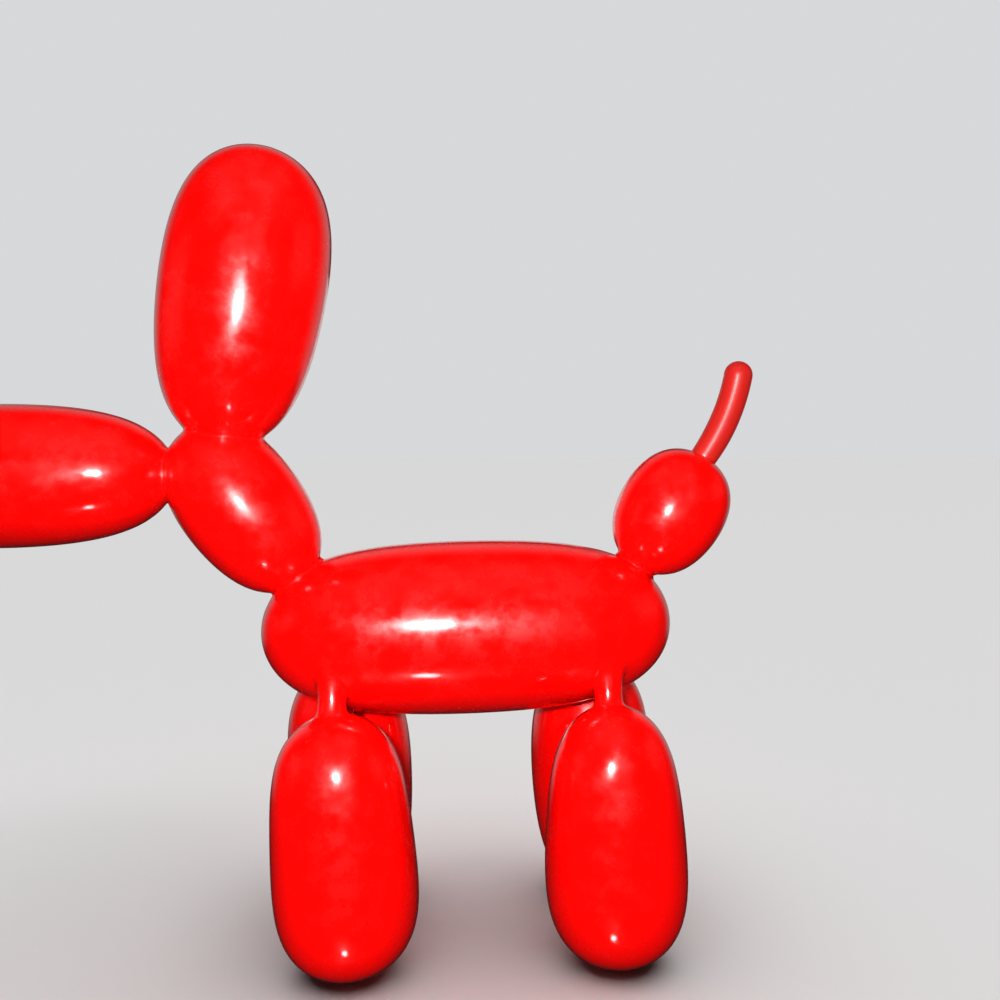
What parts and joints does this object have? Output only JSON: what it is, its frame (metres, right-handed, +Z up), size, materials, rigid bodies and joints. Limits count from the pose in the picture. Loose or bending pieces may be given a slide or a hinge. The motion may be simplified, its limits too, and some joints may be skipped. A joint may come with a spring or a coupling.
{
  "type": "balloon poodle sculpture",
  "caption": "Large glossy red figure of a twisted-balloon poodle, standing on its rounded legs, with a topknot, a ball tail and a curved tail tip.",
  "frame": {"origin": "on the ground under the middle of the figure's box, between the feet's lowest faces and the muzzle's and tail's ends", "axes": "+Z up, the muzzle points towards -X, the near side of the picture is -Y"},
  "size_m": [2.7988, 0.9015, 2.4149],
  "materials": {
    "lacquer_red": "saturated red lacquer on moulded fibreglass, polished to a high gloss",
    "satin_red": "slightly duller red with a satin sheen"
  },
  "bodies": {
    "root": {"poodle": "lacquer_red", "tail_tip": "satin_red"}
  },
  "joints": []
}
